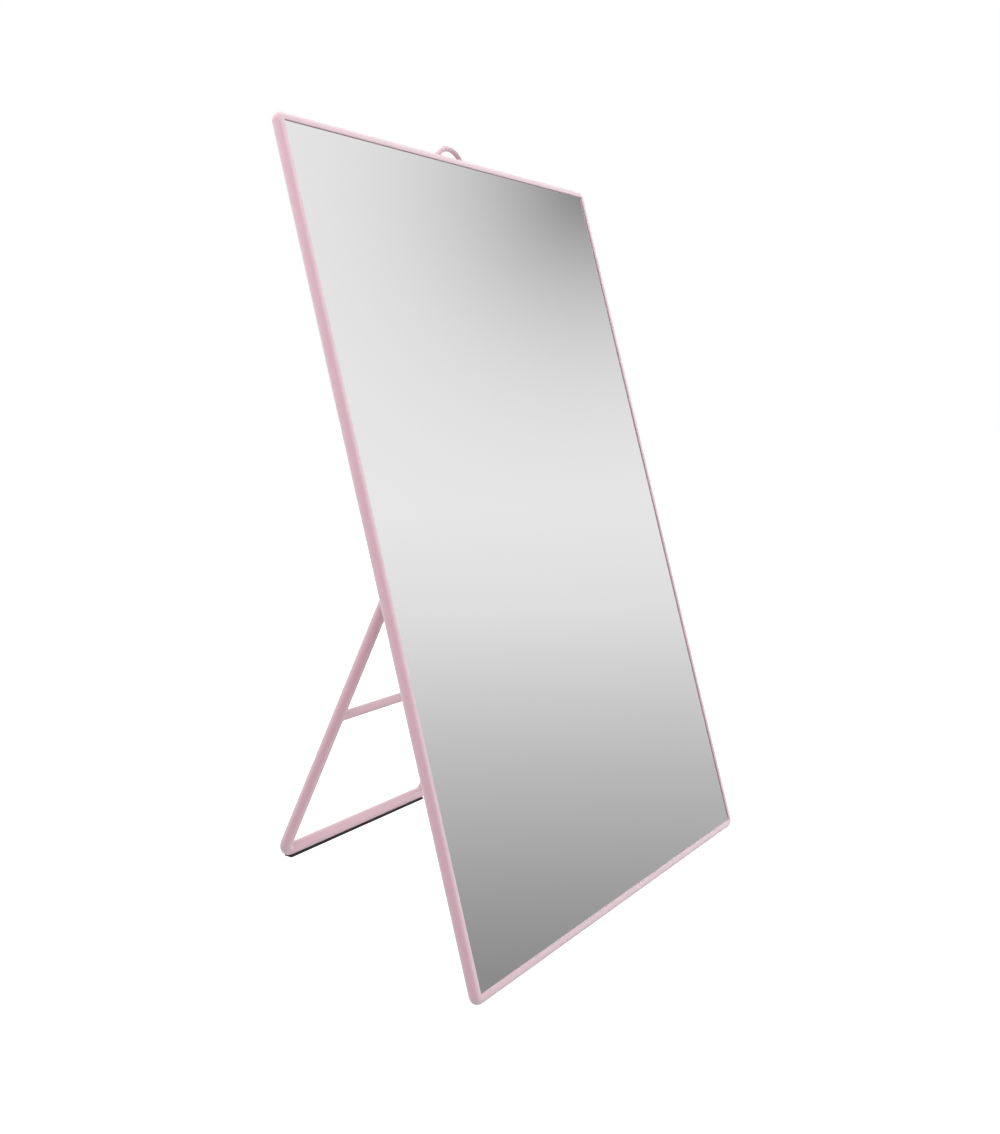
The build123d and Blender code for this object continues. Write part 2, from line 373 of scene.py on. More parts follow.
def finish_of(name, sockets_of, **constants):
    """A material with one Principled shader. sockets_of(graph) gives what changes over the surface,
    and constants are the shader's own socket values, written with underscores for spaces."""
    material = bpy.data.materials.new(name)
    graph = Graph(material)
    sockets = {key.replace("_", " "): value for key, value in constants.items()}
    sockets.update(sockets_of(graph))
    shader = graph.node("ShaderNodeBsdfPrincipled", {}, sockets)
    graph.node("ShaderNodeOutputMaterial", {}, {"Surface": shader})
    print("finish", name, "has", len(graph.tree.nodes), "nodes")
    return material


def rgb(red, green, blue):
    """A colour socket's value."""
    return red, green, blue, 1.0


# %% [markdown]
# ## Pink powder coat
# Rim, back, loop, bracket and leg were coated after assembly with a satin pink powder. Baked powder
# is never quite flat: it has a fine orange-peel skin under a millimetre across, its gloss drifts a
# little, and the colour is a touch deeper where the coat is thicker. Its fine grains also scatter
# white light at a low angle, so the colour pales towards every outline. That is the sheen.

# %% Pink coat
THIN_PINK, THICK_PINK = rgb(0.62, 0.315, 0.405), rgb(0.575, 0.275, 0.36)
PEEL_DEPTH = 0.000018


def pink_sockets(graph):
    """Colour, gloss and skin of the coat from slow drift, orange peel and single grains."""
    place = graph.place()
    drift = graph.noise(place, 28.0)
    peel = graph.noise(place, 900.0, 3.0)
    grain = graph.noise(place, 3200.0, 1.0)
    return {
        "Base Color": graph.blend(drift * 0.7 + peel * 0.3, THIN_PINK, THICK_PINK),
        "Roughness": 0.30 + 0.10 * drift + 0.06 * grain,
        "Normal": graph.bump(0.8 * peel + 0.2 * grain, PEEL_DEPTH),
    }


clear_skin = {"Coat_Weight": 0.3, "Coat_Roughness": 0.12}
pale_edges = {"Sheen_Weight": 1.0, "Sheen_Roughness": 0.8}
pink_coat = finish_of("satin_pink", pink_sockets, IOR=1.5, **clear_skin, **pale_edges)

# %% [markdown]
# ## Looking glass and silver
# A looking glass is a clear sheet with a bright metal film on its back. What is seen is the film's
# picture of the room, with a faint second picture from the glass in front of it. The sheet could be
# made as real glass over a metal film, but then the rim's hidden inside shows as a black line all
# round. So the sheet is made as what the eye takes it for: bright metal under a clear, hard coat.
# Wiping leaves broad streaks that only just change its gloss.

# %% Looking glass and silver
def glass_sockets(graph):
    """Streaks from wiping in the gloss, and a very slight change of tone."""
    wipe = graph.noise(graph.place((1, 6, 6)), 9.0, 4.0)
    tone = graph.noise(graph.place(), 11.0)
    return {
        "Base Color": graph.blend(tone, rgb(0.905, 0.90, 0.90), rgb(0.895, 0.89, 0.89)),
        "Roughness": 0.012 * wipe ** 3,
    }


def silver_sockets(graph):
    """A thinly clouded metal film."""
    cloud = graph.noise(graph.place(), 14.0)
    return {
        "Base Color": graph.blend(cloud, rgb(0.955, 0.96, 0.955), rgb(0.90, 0.905, 0.90)),
        "Roughness": 0.05 + 0.1 * cloud,
    }


clear_sheet = {"Coat_Weight": 0.5, "Coat_Roughness": 0.0}
glass_finish = finish_of("looking_glass", glass_sockets, Metallic=1.0, **clear_sheet)
silvering = finish_of("silver_film", silver_sockets, Metallic=1.0)

# %% [markdown]
# ## Plain steel, nylon, foam and rubber
# The rivets and the pin are zinc plated, with faint rings from turning. The washers are natural
# nylon. The liner behind the glass is thin white foam with closed cells. The foot strip is black
# rubber with a dull, slightly dusty skin.

# %% Small parts' finishes
def steel_sockets(graph):
    """Zinc plate: a bloom of tiny crystals over the fine rings that turning leaves."""
    rings = graph.noise(graph.place((1, 0.08, 0.08)), 2600.0, 2.0)
    bloom = graph.noise(graph.place(), 420.0, 4.0)
    return {
        "Base Color": graph.blend(bloom, rgb(0.70, 0.70, 0.69), rgb(0.55, 0.555, 0.56)),
        "Roughness": 0.22 + 0.22 * bloom,
        "Normal": graph.bump(rings, 0.00001),
    }


def nylon_sockets(graph):
    """Milky plastic with a faint haze."""
    haze = graph.noise(graph.place(), 700.0, 3.0)
    return {
        "Base Color": graph.blend(haze, rgb(0.86, 0.85, 0.80), rgb(0.78, 0.77, 0.71)),
        "Roughness": 0.38 + 0.14 * haze,
        "Normal": graph.bump(haze, 0.00002),
    }


def foam_sockets(graph):
    """Closed cells, lighter and smoother in the middle of each."""
    sockets = {"Vector": graph.place(), "Scale": 1400.0}
    cells = graph.node("ShaderNodeTexVoronoi", {}, sockets, "Distance")
    return {
        "Base Color": graph.blend(cells, rgb(0.84, 0.84, 0.83), rgb(0.70, 0.70, 0.69)),
        "Roughness": 0.80 + 0.15 * cells,
        "Normal": graph.bump(cells, 0.0001),
    }


def rubber_sockets(graph):
    """Fine grain under a little dust, which is thin but for a few spots."""
    place = graph.place()
    grain = graph.noise(place, 2400.0, 3.0)
    dust = graph.noise(place, 160.0, 3.0)
    return {
        "Base Color": graph.blend(dust ** 3, rgb(0.018, 0.018, 0.020), rgb(0.075, 0.072, 0.070)),
        "Roughness": 0.62 + 0.25 * grain,
        "Normal": graph.bump(grain, 0.00006),
    }


bare_steel = finish_of("zinc_steel", steel_sockets, Metallic=1.0)
milky = {"Subsurface_Weight": 0.15, "Subsurface_Scale": 0.002}
nylon = finish_of("natural_nylon", nylon_sockets, **milky)
foam = finish_of("white_foam", foam_sockets)
black_rubber = finish_of("dull_rubber", rubber_sockets, Specular_IOR_Level=0.35)

# %% [markdown]
# ## Rolled rim
# The rim is one strip of half-millimetre steel, rolled to a U and bent round the glass at four
# tight corners. The profile is drawn as the strip's middle line with half the sheet's thickness to
# each side and a round edge on each lip. It is then carried round the outline, where each profile
# point is one inset of the outline. The outline starts and ends at the middle of the bottom edge,
# where the strip's two ends meet with a hair of a gap.

# %% Rim
RIM_SHEET = 0.5
RIM_LIP = 3.2  # from the rim's outer edge to the end of the lip
RIM_CORNER_R = 3.5
RIM_JOINT = 0.05


def ribbon(line, normal, half, run_in, run_out, steps=5):
    """Closed loop round a strip: line + half normal, a half circle over the end, line - half normal
    back again, and a half circle over the start. The runs point out of the strip's two ends."""
    a = np.linspace(0, pi, steps + 2)[1:-1, None]
    over_end = line[-1] + half * (np.cos(a) * normal[-1] + np.sin(a) * run_out)
    over_start = line[0] - half * (np.cos(a) * normal[0] + np.sin(a) * run_in)
    out, back = line + half * normal, (line - half * normal)[::-1]
    return np.concatenate([out, over_end, back, over_start])


half_sheet = RIM_SHEET / 2
bend_r = NOSE - half_sheet
lip_end = RIM_LIP - half_sheet
bend = np.linspace(-pi / 2, pi / 2, 33)[:, None]
bend_normal = np.concatenate([-np.cos(bend), np.sin(bend)], -1)
bend_line = np.array([NOSE, 0]) + bend_r * bend_normal
rim_line = np.concatenate([[[lip_end, -bend_r]], bend_line, [[lip_end, bend_r]]])
rim_normal = np.concatenate([[[0, -1]], bend_normal, [[0, 1]]])
rim_profile = ribbon(rim_line, rim_normal, half_sheet, np.array([-1, 0]), np.array([1, 0]))

rim_rings = plate_rings(mirror_w, mirror_h, RIM_CORNER_R, rim_profile, (0, mirror_h / 2))
rim_ends = np.repeat(rim_rings[:, :1], 2, 1)
rim_ends[..., 0] = np.array([RIM_JOINT, -RIM_JOINT]) / 2
rim_rings = np.concatenate([rim_ends[:, :1], rim_rings, rim_ends[:, 1:]], 1)
rim_shell = skin(placed(rim_rings.transpose(1, 0, 2), head))
make_piece("rolled_rim", "rim_channel", "pink_coat", pink_coat, rim_shell)

# %% [markdown]
# ## Glass
# The glass is a plain cut sheet with its edge taken off by a stone. It is a stack of outlines: the
# two faces, and a small round between each face and the edge.

# %% Glass
GLASS_T = 2.0
SHEET_GAP = 0.2  # from the sheet's edge to where the rim's straight walls begin
SHEET_CORNER_R = 1.5
SEAMED_EDGE = 0.15

sheet_w = mirror_w - 2 * (NOSE + SHEET_GAP)
sheet_h = mirror_h - 2 * (NOSE + SHEET_GAP)
sheet_middle = (0, mirror_h / 2)
glass_front = RIM_SHEET - NOSE
glass_profile = rounded_edge(glass_front, glass_front + GLASS_T, SEAMED_EDGE)
glass_rings = plate_rings(sheet_w, sheet_h, SHEET_CORNER_R, glass_profile, sheet_middle)
glass_shell = skin(placed(glass_rings, head))
make_piece("looking_glass", "mirror_glass", "mirror_glass", glass_finish, glass_shell)

# %% [markdown]
# ## Back panel
# The back is thin sheet with a raised pad pressed in it, which carries the hinge bracket and leaves
# room for the rivets' inner heads. The press leaves a sloping wall with a soft bend at its foot
# and another at its top. The rings run out over the inside of the panel, round its edge, and in
# again over the outside.

# %% Back panel
PANEL_T = 0.5
PANEL_FRONT = 1.0  # behind the middle of the rim
PANEL_BACK = PANEL_FRONT + PANEL_T
PAD_W = 62.0
PAD_H = 74.0
PAD_CORNER_R = 8.0
PAD_RISE = 2.0
PAD_DRAFT = radians(40)
PAD_BEND = 0.7
PAD_FLAT = 2.0  # flat run on each side of the wall
PANEL_ROUND = 0.12

pad_slope = PAD_RISE * tan(PAD_DRAFT)  # how far the wall leans in
pad_skin = PANEL_T * (1 / cos(PAD_DRAFT) - tan(PAD_DRAFT))  # outside foot to inside foot
pad_middle = (0, axis_up)


def pad_profile(foot, depth):
    """(inset, depth) up the pressed wall: flat, bend, slope, bend, flat."""
    crest, top = foot + pad_slope, depth + PAD_RISE
    corners = [(foot - PAD_FLAT, depth), (foot, depth), (crest, top), (crest + PAD_FLAT, top)]
    return bent_path(corners, PAD_BEND, 6)


pad_size = (PAD_W, PAD_H, PAD_CORNER_R)
pad_outside = plate_rings(*pad_size, pad_profile(0, PANEL_BACK), pad_middle)
pad_inside = plate_rings(*pad_size, pad_profile(pad_skin, PANEL_FRONT), pad_middle)
panel_edge = rounded_edge(PANEL_FRONT, PANEL_BACK, PANEL_ROUND, 3)
panel_rim = plate_rings(sheet_w, sheet_h, SHEET_CORNER_R, panel_edge, sheet_middle)
panel_rings = np.concatenate([pad_inside[::-1], panel_rim, pad_outside])
panel_shell = skin(placed(panel_rings, head))
make_piece("pressed_back", "back_panel", "pink_coat", pink_coat, panel_shell)

# %% [markdown]
# ## Hanging loop
# A short wire is bent to an arch, its two tails are brazed to the back of the rim, and it leans
# forward over the top edge. The tails end in a round, and each sits in a small smooth lump of
# braze, drawn as an ellipsoid.

# %% Hanging loop
LOOP_WIRE_R = 1.05
LOOP_R = 9.8
LOOP_TAIL = 2.0
LOOP_UP = 294.9  # middle of the arch, up the face
LOOP_LEAN = radians(14.6)
BRAZE_SIZE = (1.75, 2.9, 1.5)  # half sizes: across, up the face, back
BRAZE_BACK = NOSE + 0.15
TIP_TURN = 0.97 * pi / 2  # a round tip stops just short of its pole


def half_ball(ring, centre, inner, radius):
    """Rings of a rod's round tip: they shrink by cos a and move out of the rod's end by sin a."""
    a = np.linspace(0, TIP_TURN, 7)[1:, None, None]
    middle, run = np.append(centre, 0), np.append(centre - inner, 0)
    return middle + (ring - middle) * np.cos(a) + radius * run / np.linalg.norm(run) * np.sin(a)


def round_ends(rings, path, radius):
    """Rings of a rod with a half ball added to each end."""
    first = half_ball(rings[0], path[0], path[1], radius)
    last = half_ball(rings[-1], path[-1], path[-2], radius)
    return np.concatenate([first[::-1], rings, last])


arch = np.linspace(0, pi, 41)[:, None]
arch_path = LOOP_R * np.concatenate([np.cos(arch), np.sin(arch)], -1)
tail_ends = np.array([[LOOP_R, -LOOP_TAIL], [-LOOP_R, -LOOP_TAIL]])
loop_path = np.concatenate([tail_ends[:1], arch_path, tail_ends[1:]])
loop_rings = round_ends(tube_rings(loop_path, LOOP_WIRE_R, 28), loop_path, LOOP_WIRE_R)
loop_foot = head[0] + LOOP_UP * face_up + (NOSE + LOOP_WIRE_R) * face_back
loop_up = cos(LOOP_LEAN) * face_up - sin(LOOP_LEAN) * face_back
loop_place = frame_at(loop_foot, across, loop_up, np.cross(across, loop_up))


def lump(centre, size, cap=0.06):
    """An ellipsoid: centre + (a sin u cos v, b sin u sin v, c cos u), with each pole cut to a small
    cap that is cap radians from it."""
    u = np.linspace(cap, pi - cap, 14)[:, None]
    v = np.linspace(0, 2 * pi, 24, endpoint=False)
    ball = np.stack([np.sin(u) * np.cos(v), np.sin(u) * np.sin(v), np.cos(u) + 0 * v], -1)
    return np.array(centre) + ball * np.array(size)


loop_shells = [skin(placed(loop_rings, loop_place))]
for side in (-LOOP_R, LOOP_R):
    loop_shells.append(skin(placed(lump((side, LOOP_UP, BRAZE_BACK), BRAZE_SIZE), head)))
make_piece("wire_loop", "hanging_loop", "pink_coat", pink_coat, *loop_shells)

# %% [markdown]
# ## Hinge bracket
# The bracket is folded from 1.2 mm sheet: a base plate and two ears that hold the pin. An ear is
# drawn as a flat ring. Its outline is the tightest curve round the pin boss and the foot, and its
# inner edge is the pin hole. It is a hair thinner than the plate, so that no two faces lie in one
# plane, and its foot is sunk a little in the plate. A small round fills the inside of each fold.

# %% Hinge bracket
BRACKET_T = 1.2
BRACKET_H = 46.0
BRACKET_CORNER_R = 3.0
EAR_INSIDE = 15.3
EAR_OUTSIDE = EAR_INSIDE + BRACKET_T
EAR_R = 4.2
EAR_BASE = 13.0
EAR_ROUND = 0.22
EAR_TUCK = 0.03
EAR_SINK = 0.9
FOLD_R = 0.9
FOLD_DEPTH = 0.45  # how far a fold's bar goes into the ear and the plate
PIN_R = 2.0
BRACKET_FRONT = PANEL_BACK + PAD_RISE
BRACKET_BACK = BRACKET_FRONT + BRACKET_T


def ear_outline():
    """(points, normals) up one side of the ear, over the boss and down the other. The straight side
    leaves the foot's corner and meets the boss where the radius is square to it."""
    foot = np.array([EAR_BASE / 2, BRACKET_BACK - EAR_SINK - axis_back])
    reach = np.hypot(*foot)
    meet = atan2(foot[1], foot[0]) + acos(EAR_R / reach)
    a = np.linspace(meet, pi - meet, 33)[:, None]
    boss = np.concatenate([np.cos(a), np.sin(a)], -1)
    side = np.linspace(foot, EAR_R * boss[0], 8)[:-1]
    flip = np.array([-1, 1])
    points = np.concatenate([side, EAR_R * boss, side[::-1] * flip])
    near, far = (np.repeat(boss[[end]], len(side), 0) for end in (0, -1))
    normals = np.concatenate([near, boss, far])
    bottom = np.linspace(foot * flip, foot, 12)[1:-1]
    down = np.broadcast_to([0, -1], bottom.shape)
    return np.concatenate([points, bottom]), np.concatenate([normals, down])


def ear_rings(start, end):
    """Rings through an ear from x = start to x = end: out over one face, round the edge, back over
    the other face, and through the pin hole."""
    points, normals = ear_outline()
    angle = np.arctan2(points[:, 1], points[:, 0])
    hole = np.stack([np.cos(angle), np.sin(angle)], -1)
    edge = rounded_edge(start, end, EAR_ROUND)
    outer = points - edge[:, :1, None] * normals
    flat = np.concatenate([outer, np.stack([PIN_R * hole, PIN_R * hole])])
    x = np.append(edge[:, 1], [end, start])[:, None, None]
    return np.concatenate([np.broadcast_to(x, flat.shape[:2] + (1,)), flat], -1)


def fold_rings(side):
    """A bar that fills the inside of a fold: a hollow quarter circle, r (1 - sin a) in from the ear
    and r (1 - cos a) above the plate, closed inside the metal by straight edges."""
    a = np.linspace(0, pi / 2, 9)
    hollow = np.stack([-FOLD_R * (1 - np.sin(a)), FOLD_R * (1 - np.cos(a))], -1)
    inside = [[FOLD_DEPTH, FOLD_R], [FOLD_DEPTH, -FOLD_DEPTH], [-FOLD_R, -FOLD_DEPTH]]
    section = np.concatenate([hollow, inside])
    along = np.array([-0.5, 0.5]) * (EAR_BASE - 2 * EAR_ROUND)
    x = np.broadcast_to(side * (EAR_INSIDE + section[:, 0]), (2, len(section)))
    up = np.broadcast_to(along[:, None], x.shape)
    back = np.broadcast_to(BRACKET_BACK - axis_back + section[:, 1], x.shape)
    return np.stack([x, up, back], -1)


base_edge = rounded_edge(BRACKET_FRONT, BRACKET_BACK, EAR_ROUND)
base_rings = plate_rings(2 * EAR_OUTSIDE, BRACKET_H, BRACKET_CORNER_R, base_edge, pad_middle)
bracket_shells = [skin(placed(base_rings, head))]
for start in (-EAR_OUTSIDE, EAR_INSIDE):
    ear = ear_rings(start + EAR_TUCK, start + BRACKET_T - EAR_TUCK)
    bracket_shells.append(skin(placed(ear, hinge), loop=True))
    bracket_shells.append(skin(placed(fold_rings(np.sign(start)), hinge)))
make_piece("folded_bracket", "hinge_bracket", "pink_coat", pink_coat, *bracket_shells)

# %% [markdown]
# ## Rivets, pin and washers
# These are turned shapes. A rivet has a low dome outside and a flat set head inside, the pin has a
# dome at one end and is peened over at the other, and a nylon washer sits between each ear and the
# leg's barrel. A low dome is half an ellipse on a short upright edge.

# %% Rivets
RIVET_R = 1.6
RIVET_HEAD = (2.8, 1.0)  # radius, height
RIVET_TAIL = (2.4, 0.9)
RIVET_SPOTS = [(-6.0, -17.0), (6.0, -17.0), (-10.5, 17.0), (10.5, 17.0)]  # across, above the axis
DOME_TURN = 0.96 * pi / 2
HEAD_FOOT = 0.97


def dome(start, radius, height):
    """(place, radius) over a low dome: an upright edge a quarter of the height, which starts a
    little narrower than the head, then (3/4 h sin a, r cos a)."""
    a = np.linspace(0, DOME_TURN, 9)
    place = start + height * (0.25 + 0.75 * np.sin(a))
    edge = [[start, HEAD_FOOT * radius]]
    return np.concatenate([edge, np.stack([place, radius * np.cos(a)], -1)])


def headed(low, high, shank, low_head, high_head):
    """Profile of a shank from low to high with a dome past each end; a head is (radius, height)."""
    low_dome = dome(low, low_head[0], -low_head[1])[::-1]
    return np.concatenate([low_dome, [[low, shank], [high, shank]], dome(high, *high_head)])


rivet_profile = headed(BRACKET_FRONT - PANEL_T, BRACKET_BACK, RIVET_R, RIVET_TAIL, RIVET_HEAD)
rivet_rings = turned_rings(rivet_profile, 32)[..., [1, 2, 0]]
rivet_shells = []
for x, up in RIVET_SPOTS:
    rivet_shells.append(skin(placed(rivet_rings + np.array([x, up + axis_up, 0]), head)))
make_piece("domed_rivets", "bracket_rivets", "bare_steel", bare_steel, *rivet_shells)

# %% Pin and washers
PIN_HEAD = (3.4, 1.8)
PIN_TAIL = (2.9, 1.2)
BORE_R = 2.06
WASHER_R = 3.4
WASHER_T = 1.0
WASHER_ROUND = 0.2

pin_profile = headed(-EAR_OUTSIDE, EAR_OUTSIDE, PIN_R, PIN_TAIL, PIN_HEAD)
pin_shell = skin(placed(turned_rings(pin_profile), hinge))
make_piece("turned_pin", "hinge_pin", "bare_steel", bare_steel, pin_shell)


def turned_ring(low, high, inner, outer, edge):
    """Profile of a ring with rounded edges: a rounded rectangle in (place, radius)."""
    outline = rounded_outline(high - low, outer - inner, edge, 0)[0]
    return outline + np.array([(low + high) / 2, (inner + outer) / 2])


washer_shells = []
for low in (-EAR_INSIDE, EAR_INSIDE - WASHER_T):
    washer_profile = turned_ring(low, low + WASHER_T, BORE_R, WASHER_R, WASHER_ROUND)
    washer_shells.append(skin(placed(turned_rings(washer_profile), hinge), loop=True))
make_piece("washer_pair", "hinge_washers", "nylon", nylon, *washer_shells)

# %% [markdown]
# ## Leg
# The leg is one 5 mm rod bent twice into a tapering U. Its ends are coped round a short tube, the
# barrel that turns on the pin, and welded there, and a thinner bar is welded across between the
# rails. A weld that has been dressed and painted is a smooth hollow fillet: each line of it is a
# curve from the rod, towards the corner where the surfaces would meet, and out onto the other one.

# %% Welded ends
WELD = 1.1
WELD_REACH = 0.93
CORE = 0.7  # the buried end ring, as a part of the rod's radius
CORE_DEPTH = 0.45


def welded_end(origin, run, side, radius, hit, other_radius):
    """Rings of a rod's end. hit(a, b) is how far along run a line at offset (a, b) from the rod's
    middle meets the other surface. Each line is (1-t)^2 A + 2t(1-t) I + t^2 B, where I is the
    corner, A is one weld's width up the rod, and B is the same width out on the other surface, as
    far round it as WELD_REACH of its radius. The last ring closes the end inside the metal."""
    turn = np.linspace(0, 2 * pi, AROUND, endpoint=False)
    unit = np.stack([np.cos(turn), np.sin(turn)], -1)

    def on_line(offset, distance):
        a, b = offset[:, :1], offset[:, 1:]
        return origin + a * side + b * np.array([0, 0, 1]) + distance[:, None] * run

    inner, outer, core = radius * unit, (radius + WELD) * unit, CORE * radius * unit
    reach = WELD_REACH * other_radius
    outer[:, 1] = np.clip(outer[:, 1], -reach, reach)
    corner = hit(*inner.T)
    a, i = on_line(inner, corner - WELD), on_line(inner, corner)
    b = on_line(outer, hit(*outer.T))
    t = np.linspace(0, 1, 7)[:, None, None]
    buried = on_line(core, hit(*core.T) + CORE_DEPTH)
    return np.concatenate([(1 - t) ** 2 * a + 2 * t * (1 - t) * i + t ** 2 * b, buried[None]])


def from_left(rings):
    """The rings of a left end, turned round so that a right-hand rod starts from them."""
    return np.roll(rings[::-1, ::-1], AROUND // 2 + 1, 1)


# %% Leg frame
LEG_W = 96.0
LEG_TOP_W = 21.3
BEND_R = 4.0
BARREL_R = 3.2

top_x, foot_x = LEG_TOP_W / 2, LEG_W / 2
leg_corners = [(-top_x, 0), (-foot_x, leg_length), (foot_x, leg_length), (top_x, 0)]
leg_path = bent_path(leg_corners, BEND_R, 16)
rail_run = np.array([foot_x - top_x, leg_length]) / np.hypot(foot_x - top_x, leg_length)


def barrel_end(side):
    """The rail's end on the barrel. The rail runs up and in, and a line at (a, b) meets the barrel
    where its distance down the leg is the root of R^2 - b^2."""
    run = np.array([-side * rail_run[0], -rail_run[1], 0])
    across_rod = np.array([run[1], -run[0], 0])
    origin = np.array([side * top_x, 0.0, 0.0])

    def hit(a, b):
        return (np.sqrt(BARREL_R ** 2 - b ** 2) - a * across_rod[1]) / run[1]

    return welded_end(origin, run, across_rod, ROD_R, hit, BARREL_R)


rod = tube_rings(leg_path[1:-1], ROD_R)
leg_rings = np.concatenate([from_left(barrel_end(-1)), rod, barrel_end(1)])
leg_shell = skin(placed(leg_rings, leg))
make_piece("leg_rod", "leg_frame", "pink_coat", pink_coat, leg_shell)

# %% Cross bar
BAR_R = 2.075
BAR_UP = 63.0  # from the foot run's middle, along the leg

bar_down = leg_length - BAR_UP
rail_slope = (foot_x - top_x) / leg_length
bar_end_x = top_x + rail_slope * bar_down


def bar_end(side):
    """The bar's end on a rail: x where a line at (a, b) meets the rail's sloping cylinder."""
    run, across_bar = np.array([side, 0.0, 0.0]), np.array([0.0, -side, 0.0])
    slant = sqrt(1 + rail_slope ** 2)

    def hit(a, b):
        return bar_end_x - side * a * rail_slope - slant * np.sqrt(ROD_R ** 2 - b ** 2)

    return welded_end(np.array([0.0, bar_down, 0.0]), run, across_bar, BAR_R, hit, ROD_R)


bar_rings = np.concatenate([from_left(bar_end(-1)), bar_end(1)])
bar_shell = skin(placed(bar_rings, leg))
make_piece("cross_bar", "leg_crossbar", "pink_coat", pink_coat, bar_shell)

# %% Barrel and stop tab
BARREL_L = 28.0
TAB_W = 10.0
TAB_L = 9.0
TAB_T = 1.2
TAB_CORNER_R = 1.4
TAB_ROUND = 0.2
BARREL_ROUND = 0.3
MOVING_GAP = 0.3  # between the open leg's tab and the bracket

barrel_profile = turned_ring(-BARREL_L / 2, BARREL_L / 2, BORE_R, BARREL_R, BARREL_ROUND)
barrel_shell = skin(placed(turned_rings(barrel_profile, 56), hinge), loop=True)
make_piece("barrel_tube", "hinge_barrel", "pink_coat", pink_coat, barrel_shell)

tab_front = BRACKET_BACK + MOVING_GAP - axis_back
tab_edge = rounded_edge(tab_front, tab_front + TAB_T, TAB_ROUND)
tab_rings = plate_rings(TAB_W, TAB_L, TAB_CORNER_R, tab_edge, (0, TAB_L / 2))
buried_r = (BORE_R + BARREL_R) / 2
tab_start = np.sqrt(np.maximum(buried_r ** 2 - tab_rings[..., 2] ** 2, 0))
tab_rings[..., 1] = tab_start + tab_rings[..., 1] * (1 - tab_start / TAB_L)
make_piece("stop_plate", "stop_tab", "pink_coat", pink_coat, skin(placed(tab_rings, hinge)))

# %% [markdown]
# ## Foot strip
# A rubber strip is glued under the foot run, so that the leg doesn't scratch or slide. Its section
# is a low block with a groove on top that the rod sits in. The section is carried along the strip,
# and its half width follows the rounded corners at the two ends.

# %% Foot strip
STRIP_CORNER_R = 0.4
STRIP_ROUND = 0.15

strip_l, strip_w, strip_h = strip_high - strip_low
rod_z = leg_low[2] + ROD_R  # the foot run's middle
groove_half = sqrt(ROD_R ** 2 - (rod_z - strip_h) ** 2)
groove_y = np.linspace(groove_half, -groove_half, 15)
groove_z = rod_z - np.sqrt(ROD_R ** 2 - groove_y ** 2)
quarter = np.linspace(0, pi / 2, 5)
end = np.linspace(0, pi / 2, 9)
end_x = strip_l / 2 - STRIP_CORNER_R * (1 - np.sin(end))
end_half = strip_w / 2 - STRIP_CORNER_R * (1 - np.cos(end))
station_x = np.concatenate([-end_x[::-1], end_x])
station_half = np.concatenate([end_half[::-1], end_half])[:, None]

side_in = STRIP_ROUND * (1 - np.cos(quarter))
low_z = STRIP_ROUND * (1 - np.sin(quarter))
right_y = station_half - np.concatenate([side_in[::-1], side_in])
right_z = np.concatenate([low_z[::-1], strip_h - low_z])
top_y = np.broadcast_to(groove_y, (len(station_x), len(groove_y)))
section_y = np.concatenate([right_y, np.minimum(top_y, station_half), -right_y[:, ::-1]], 1)
section_z = np.concatenate([right_z, groove_z, right_z[::-1]])
strip_rings = np.stack([
    np.broadcast_to(station_x[:, None], section_y.shape),
    section_y + (strip_low[1] + strip_high[1]) / 2,
    np.broadcast_to(section_z, section_y.shape) + strip_low[2],
], -1)
make_piece("rubber_foot", "foot_strip", "black_rubber", black_rubber, skin(MM * strip_rings))

# %% [markdown]
# ## Pieces that keep their CAD shape
# The silver film, the foam liner and the key inside the rim are plain flat or hidden shapes, so
# their CAD meshes stay as they are and only get their finishes.

# %% Finishes of the CAD nodes that stay
CAD_FINISHES = {"silver_coat": silvering, "foam_liner": foam, "rim_joiner": bare_steel}
for name, finish in CAD_FINISHES.items():
    for material_slot in frame["nodes"][name].material_slots:
        material_slot.material = finish
    print(name, "keeps its CAD shape, in", finish.name)

# %% [markdown]
# ## Room
# A mirror shows the room, so the room is part of its finish. One world gives three answers. The
# camera sees plain white. The mirror and every other gloss see grey walls that darken towards the
# floor, with one darker patch high up on the right. The paint gets a dim bounce that is brighter
# from below, so that the lamps shape it. The floor glows white, shows no shadow, and is hidden
# from the mirror, which would otherwise show its far edge.

# %% World
ROOM_LEAN = (0.1665, 0.4165, 0.9962)
ROOM_LOW, ROOM_HIGH = -0.352, 0.319
ROOM_GREYS = [(0.0, 0.204), (0.19, 0.358), (0.37, 0.543), (0.58, 0.813), (0.72, 0.90), (1.0, 0.90)]
PATCH_AZIMUTH, PATCH_HEIGHT, PATCH_SPREAD = radians(-20.5), radians(24.25), radians(6.6)
PATCH_DEPTH, PATCH_POWER = 0.767, 0.665
BOUNCE_LOW, BOUNCE_HIGH = rgb(0.22, 0.22, 0.22), rgb(0.095, 0.095, 0.095)
BLACK, WHITE = rgb(0, 0, 0), rgb(1, 1, 1)

world = bpy.data.worlds.new("room")
scene.world = world
room = Graph(world)
direction = room.node("ShaderNodeTexCoord", {}, {}, "Generated")


def towards(vector):
    """Dot product of the direction looked in and a fixed vector."""
    sockets = {0: direction, 1: vector}
    return room.node("ShaderNodeVectorMath", {"operation": "DOT_PRODUCT"}, sockets, "Value")


def patch_over(azimuth, height, spread, power):
    """exp(-(angle / spread)^(2 power)) round one direction, where 2 (1 - cos angle) stands for the
    angle squared."""
    middle = (cos(height) * cos(azimuth), cos(height) * sin(azimuth), sin(height))
    away = (1.0 - towards(middle)) * (2 / spread ** 2)
    fall = away.math("MAXIMUM", away, 0.0) ** power
    return fall.math("EXPONENT", fall * -1.0)


